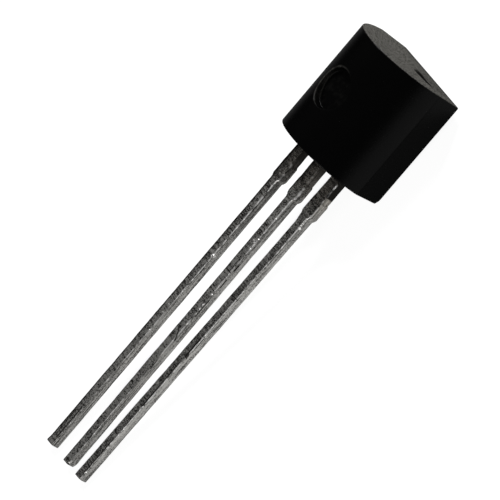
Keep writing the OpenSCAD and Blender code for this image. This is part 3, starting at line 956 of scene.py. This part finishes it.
class Finish:
    """The nodes of a material or of the surroundings, under construction."""

    def __init__(self, made, ending="OutputMaterial"):
        self.made = made
        made.use_nodes = True
        self.tree = made.node_tree
        self.tree.nodes.clear()
        self.ending = self.tree.nodes.new("ShaderNode" + ending)

    def node(self, kind, settings=None, values=None, output=0):
        """Adds a node of that kind, applies its settings, then sets or links its sockets, and returns the
        chosen output."""
        added = self.tree.nodes.new("ShaderNode" + kind)
        for key, value in (settings or {}).items():
            setattr(added, key, value)
        for key, value in (values or {}).items():
            socket = added.inputs[key]
            if isinstance(value, Socket):
                self.tree.links.new(value.link, socket)
            else:
                socket.default_value = value
        return Socket(self, added.outputs[output])

    def place(self, scale=(1.0, 1.0, 1.0), turn=0.0):
        """The point on the object, in millimetres and stretched by scale. turn is about the Y axis."""
        here = self.node("TexCoord", output="Object")
        sizes = {"Vector": here, "Rotation": (0.0, turn, 0.0)}
        lined = self.node("Mapping", {"vector_type": "POINT"}, sizes)
        stretch = tuple(s / MM for s in scale)
        return self.node("VectorMath", {"operation": "MULTIPLY"}, {0: lined, 1: stretch})

    def noise(self, at, scale, detail=2.0, roughness=0.5):
        """Soft noise from 0 to 1, with that many features to a millimetre."""
        values = {"Vector": at, "Scale": scale, "Detail": detail, "Roughness": roughness}
        return self.node("TexNoise", None, values)

    def mark(self, name):
        """A number that the mesh keeps at its points."""
        return self.node("Attribute", {"attribute_name": name}, output="Fac")

    def ray(self, name):
        """1 for a ray of that kind and 0 for any other."""
        return self.node("LightPath", output=f"Is {name} Ray")

    def mix(self, factor, first, second):
        """Goes from the first colour to the second."""
        return self.node("Mix", {"data_type": "RGBA"}, {0: factor, 6: first, 7: second}, 2)

    def bump(self, height, distance, strength=1.0, under=None):
        """A normal bent by a height from 0 to 1 that stands for that many millimetres."""
        values = {"Height": height, "Distance": distance * MM, "Strength": strength}
        if under is not None:
            values["Normal"] = under
        return self.node("Bump", None, values)

    def principled(self, **values):
        """A Principled shader, with an underscore for each space in its sockets' names."""
        named = {key.replace("_", " "): value for key, value in values.items()}
        return self.node("BsdfPrincipled", None, named)

    def close(self, shader):
        """Ends the nodes with that shader."""
        self.tree.links.new(shader.link, self.ending.inputs["Surface"])
        return self.made


def rgba(tint, times=1.0):
    """A colour that many times as bright, up to white."""
    return (*(min(1.0, times * c) for c in tint), 1.0)


def epoxy(look):
    """Black moulding compound: a satin skin with fine grain, faint rub marks and dust, painted highlight on
    the pin mark's lip and wall, a torn gate scar with painted shade in and round it, and ends that show the
    grey filler, with painted sheen in their grey."""
    finish = Finish(bpy.data.materials.new("black_epoxy"))
    at = finish.place()
    end, torn_and_shade, scuffs_and_highlight = (finish.mark(name) for name in CASE_MARKS)
    grain = finish.noise(at, scale=28.0, detail=3.0, roughness=0.6)
    cloud = finish.noise(at, scale=1.3, detail=3.0, roughness=0.55)
    speck = finish.noise(at, scale=15.0, detail=2.0, roughness=0.8).above(0.36, 0.64)
    skin_tint = finish.mix(cloud, rgba(look.epoxy), rgba(look.epoxy, 1.3))
    # The ends' grey with specks: the filler, and painted sheen in place of a reflection.
    end_tint = finish.mix(speck, rgba(look.epoxy_end, 0.3), rgba(look.epoxy_end, 1.8))
    # Near black: the gate's torn floor, partly painted shade, and the painted shade along the front rim and
    # before the deep end.
    scar_and_shade_tint = finish.mix(torn_and_shade, end_tint, rgba(look.epoxy_end, 0.06))
    tint = finish.mix(end, skin_tint, scar_and_shade_tint)
    # Lighter where the pin mark carries painted highlight on its lip and wall, and where its floor is
    # rubbed.
    tint = finish.mix(scuffs_and_highlight * grain.above(0.3, 0.6), tint, rgba(look.epoxy_end, 1.2))
    rough = look.epoxy_roughness + 0.1 * (cloud - 0.5) + 0.3 * end + 0.1 * (grain - 0.5) + 0.4 * scuffs_and_highlight
    fine = finish.bump(grain, distance=0.004, strength=0.5)
    bent = finish.bump(finish.noise(at, scale=3.0), distance=0.006, strength=0.3, under=fine)
    gloss = finish.principled(Base_Color=tint, Roughness=rough, Specular_IOR_Level=0.07, Normal=bent)
    matt = finish.principled(Base_Color=tint, Roughness=rough, Specular_IOR_Level=0.0, Normal=bent)
    facing = finish.node("LayerWeight", None, {"Blend": 0.5}, "Facing")
    fade = facing.above(0.2, 0.55) * 0.88
    return finish.close(finish.node("MixShader", None, {0: fade, 1: gloss, 2: matt}))


def tinned(look, tilt):
    """Dull tin plating on the leads: mottled tarnish, fine marks rubbed across, drawn lines along the
    sides, a painted highlight along the ridge, bright nicks, and dark stains with painted shade towards
    the broad faces' outer edges."""
    finish = Finish(bpy.data.materials.new("dull_tin"))
    across = finish.place((5.0, 1.0, 1.0), tilt)
    along = finish.place((0.12, 5.0, 5.0), tilt)
    plain = finish.place((1.0, 1.0, 1.0), tilt)
    rubbed_and_highlight, stained_and_shade, browned, flank, clean = (finish.mark(name) for name in LEAD_MARKS)
    rubs = finish.noise(across, scale=2.4, detail=3.0, roughness=0.75)
    lines = finish.noise(along, scale=3.0, detail=2.0, roughness=0.7)
    mottle = finish.noise(plain, scale=24.0, detail=2.0, roughness=0.8)
    blotch = finish.noise(plain, scale=1.4, detail=3.0, roughness=0.55)
    broad = 0.6 * mottle + 0.4 * rubs + 0.1 * (blotch - 0.5)
    narrow = 0.5 * mottle + 0.5 * lines + 0.1 * (blotch - 0.5)
    grain = (broad - 0.5) * 20.0 * (1 - flank) + (narrow - 0.5) * 10.0 * flank
    clear = clean * (1 + grain)
    dark = stained_and_shade.above(0.1, 0.6)
    tint = finish.mix(clear, rgba(look.tarnish), rgba(look.tin))
    browned_tint = finish.mix(clear, rgba(look.browned_tin, 0.03), rgba(look.browned_tin))
    tint = finish.mix(browned * 0.8, tint, browned_tint)
    # Bright where nicked, and as the painted highlight along the ridge.
    tint = finish.mix(rubbed_and_highlight.above(0.15, 0.9), tint, rgba(look.bright_tin))
    # Dark where stained or scratched, and in the painted shade at the broad faces' outer edges and on the
    # base's tip.
    tint = finish.mix(dark * 0.9, tint, rgba(look.tarnish, 0.5))
    rough = look.tin_roughness + 0.25 * (mottle - 0.5) + 0.1 * (1 - clean)
    rough = rough - 0.2 * rubbed_and_highlight.above(1.3, 2.0) + 0.3 * dark
    fine = finish.bump(rubs, distance=0.015, strength=0.6)
    bent = finish.bump(mottle, distance=0.012, strength=0.7, under=fine)
    return finish.close(finish.principled(Base_Color=tint, Metallic=1.0, Roughness=rough, Normal=bent))


def silicon(look):
    """Sawn and polished silicon, a little clouded."""
    finish = Finish(bpy.data.materials.new("polished_silicon"))
    cloud = finish.noise(finish.place(), scale=8.0, detail=3.0)
    tint = finish.mix(cloud, rgba(look.silicon, 0.8), rgba(look.silicon, 1.3))
    rough = 0.12 + 0.15 * cloud
    bent = finish.bump(cloud, distance=0.002, strength=0.3)
    return finish.close(finish.principled(Base_Color=tint, Metallic=0.6, Roughness=rough, Normal=bent))


def gold(look):
    """Drawn gold wire, a little grained."""
    finish = Finish(bpy.data.materials.new("gold_wire"))
    grain = finish.noise(finish.place((4.0, 4.0, 4.0)), scale=6.0)
    tint = finish.mix(grain, rgba(look.gold, 0.85), rgba(look.gold))
    rough = 0.2 + 0.15 * grain
    bent = finish.bump(grain, distance=0.001, strength=0.4)
    return finish.close(finish.principled(Base_Color=tint, Metallic=1.0, Roughness=rough, Normal=bent))


# Studio

SENSOR_WIDTH = 36.0
# Nearest and farthest distance that the camera sees, in metres, and the shift of its frame
CAMERA_SEES = (0.002, 20.0)
FRAME_SHIFT = (-0.00075, 0.00125)
# Radius of the flat floor and of the curve up to its low wall, in metres
FLOOR_REACH = 0.8
FLOOR_RISE = 0.14
# Each lamp's place and size in metres and its power in watts, and the point that all lamps face
LAMPS = {
    "key_lamp": ((0.28, 0.22, 0.30), 0.16, 2.4),
    "fill_lamp": ((-0.36, -0.16, 0.22), 0.2, 0.7),
}
LAMP_AIM = (0.0, 0.0, 0.002)


def floor_finish(look):
    """A white floor: to the camera and in reflections a share of it is plain white, and the rest is lit
    by the lamps, so that the part's shadow stays."""
    finish = Finish(bpy.data.materials.new("white_floor"))
    cloud = finish.noise(finish.place(), scale=0.02)
    tint = finish.mix(cloud, rgba(look.floor), rgba(look.floor, 1.03))
    reflected = finish.ray("Glossy").most(finish.ray("Transmission")) * look.reflected_glow
    seen = finish.ray("Camera") + reflected
    faint = rgba(look.floor, 1.12 - look.floor_glow)
    lit = finish.node("BsdfDiffuse", None, {"Color": finish.mix(seen, tint, faint)})
    white = finish.mix(seen * look.floor_glow, BLACK, WHITE)
    glow = finish.node("Emission", None, {"Color": white})
    return finish.close(finish.node("AddShader", None, {0: lit, 1: glow}))


def surroundings(look):
    """Plain soft light from all around, which the camera sees as white."""
    finish = Finish(bpy.data.worlds.new("studio"), "OutputWorld")
    shown = finish.mix(finish.ray("Camera"), rgba(look.sky), WHITE)
    return finish.close(finish.node("Background", None, {"Color": shown}))


def floor_grid(reach, rise):
    """A round floor that curves up into a low wall: rings about the middle, flat up to the reach, then a
    quarter circle."""
    around = np.linspace(0, 2 * math.pi, 97)[:, None]
    bend = np.linspace(0, math.pi / 2, 17)
    flat = np.linspace(0, reach, 12)
    away = np.concatenate([flat, reach + rise * np.sin(bend[1:])])
    height = np.concatenate([np.zeros(len(flat)), rise * (1 - np.cos(bend[1:]))])
    x, y = away * np.cos(around), -away * np.sin(around)
    return np.stack([x, y, np.repeat(height[None], len(around), 0)], -1)


def area_lamp(name, place, size, power):
    """A square soft lamp that faces the point that all lamps face."""
    data = bpy.data.lights.new(name, "AREA")
    data.shape = "SQUARE"
    data.size = size
    data.energy = power
    lamp = bpy.data.objects.new(name, data)
    bpy.context.scene.collection.objects.link(lamp)
    turned = (Vector(LAMP_AIM) - Vector(place)).normalized().to_track_quat("-Z", "Y")
    lamp.matrix_world = Matrix.Translation(place) @ turned.to_matrix().to_4x4()


def camera_pose(look, sizes):
    """Where the camera stands and how it is turned. It looks at the aim on the case's axis, turned about
    that axis, raised over the leads' plane and rolled, and all of that lies down with the part: the
    camera's place and a point on each of its axes are laid down like any point."""
    turn, rise, roll = look.camera_turn, look.camera_rise, look.camera_roll
    level = math.cos(rise)
    to_camera = np.array([-math.sin(turn) * level, math.cos(turn) * level, math.sin(rise)])
    right = np.cross(-to_camera, [0.0, 0.0, 1.0])
    right = right / np.linalg.norm(right)
    up = np.cross(right, -to_camera)
    aim = np.array([0.0, 0.0, look.camera_aim]) + look.aim_right * right + look.aim_up * up
    place = aim + to_camera * look.camera_distance
    rolled_right = math.cos(roll) * right - math.sin(roll) * up
    rolled_up = math.sin(roll) * right + math.cos(roll) * up
    axes = np.array([rolled_right, rolled_up, to_camera])
    lying = laid_down(np.concatenate([[place], place + axes * MM]) / MM, sizes)
    columns = [*(lying[1:] - lying[0]) / MM, lying[0]]
    return Matrix([*np.stack(columns, 1).tolist(), (0.0, 0.0, 0.0, 1.0)])


# Operators

class CaseBuilder(bpy.types.Operator):
    """Builds the moulded case in place of its plain solid"""

    bl_idname = "transistor.case"
    bl_label = "Moulded case"

    def execute(self, context):
        sizes = settings(context)
        mesh = skin("moulded_case", case_grids(sizes), CASE_MARKS, lambda p: laid_down(p, sizes))
        made = piece("moulded_case", mesh, epoxy(sizes.finishes))
        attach(made, BODY)
        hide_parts("case")
        return {"FINISHED"}


class LeadBuilder(bpy.types.Operator):
    """Builds the three tinned leads in place of their plain solids"""

    bl_idname = "transistor.leads"
    bl_label = "Tinned leads"

    def execute(self, context):
        sizes = settings(context)
        tilt = resting_place(Millimetres(sizes.case), sizes.case.upper_draft)[0]
        tin = tinned(sizes.finishes, tilt)
        for node in ("collector_lead", "base_lead", "emitter_lead"):
            grid = lead_grid(sizes, node)
            mesh = skin("tinned_" + node, [grid], LEAD_MARKS, lambda p: laid_down(p, sizes))
            made = piece("tinned_" + node, mesh, tin)
            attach(made, BODY)
            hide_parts(node)
        return {"FINISHED"}


class InnerFinisher(bpy.types.Operator):
    """Gives the chip and the bond wires inside the case their silicon and gold"""

    bl_idname = "transistor.inner_parts"
    bl_label = "Chip and bond wires"

    def execute(self, context):
        look = settings(context).finishes
        finishes = {"chip": silicon(look), "base_wire": gold(look)}
        finishes["emitter_wire"] = finishes["base_wire"]
        for node, material in finishes.items():
            slots = frame["nodes"][node].material_slots
            if not slots:
                raise RuntimeError(f"{node} has no material slot")
            for slot in slots:
                slot.material = material
        return {"FINISHED"}


class StudioBuilder(bpy.types.Operator):
    """Sets up the camera, the white floor, the surroundings and the lamps"""

    bl_idname = "transistor.studio"
    bl_label = "Studio"

    def execute(self, context):
        scene = context.scene
        sizes = settings(context)
        look = sizes.studio
        data = bpy.data.cameras.new("camera")
        data.sensor_width = SENSOR_WIDTH
        data.sensor_fit = "HORIZONTAL"
        data.lens = look.lens
        data.clip_start, data.clip_end = CAMERA_SEES
        data.shift_x, data.shift_y = FRAME_SHIFT
        camera = bpy.data.objects.new("camera", data)
        scene.collection.objects.link(camera)
        camera.matrix_world = camera_pose(look, sizes)
        scene.camera = camera
        floor = piece("floor", skin("floor", [floor_grid(FLOOR_REACH, FLOOR_RISE)]), floor_finish(look))
        scene.world = surroundings(look)
        for name, (place, size, power) in LAMPS.items():
            area_lamp(name, place, size, power)
        scene.view_settings.view_transform = "Standard"
        return {"FINISHED"}


class TransistorPanel(bpy.types.Panel):
    """Lists the settings and the steps that build the transistor"""

    bl_idname = "VIEW3D_PT_transistor"
    bl_label = "TO-92 transistor"
    bl_space_type = "VIEW_3D"
    bl_region_type = "UI"
    bl_category = "Transistor"

    def draw(self, context):
        groups = settings(context)
        for step in OPERATORS:
            self.layout.operator(step.bl_idname)
        for title in ("case", "leads", "finishes", "studio"):
            box = self.layout.box()
            box.label(text=title.capitalize())
            group = getattr(groups, title)
            for name in group.__annotations__:
                box.prop(group, name)


GROUPS = (CaseSizes, LeadSizes, Finishes, StudioSettings, TransistorSettings)
OPERATORS = (CaseBuilder, LeadBuilder, InnerFinisher, StudioBuilder)


def register():
    for cls in (*GROUPS, *OPERATORS, TransistorPanel):
        bpy.utils.register_class(cls)
    bpy.types.Scene.transistor = bpy.props.PointerProperty(type=TransistorSettings)


def unregister():
    del bpy.types.Scene.transistor
    for cls in (TransistorPanel, *reversed(OPERATORS), *reversed(GROUPS)):
        bpy.utils.unregister_class(cls)


def main():
    register()
    bpy.ops.transistor.studio()
    bpy.ops.transistor.case()
    bpy.ops.transistor.leads()
    bpy.ops.transistor.inner_parts()


if __name__ == "__main__":
    main()
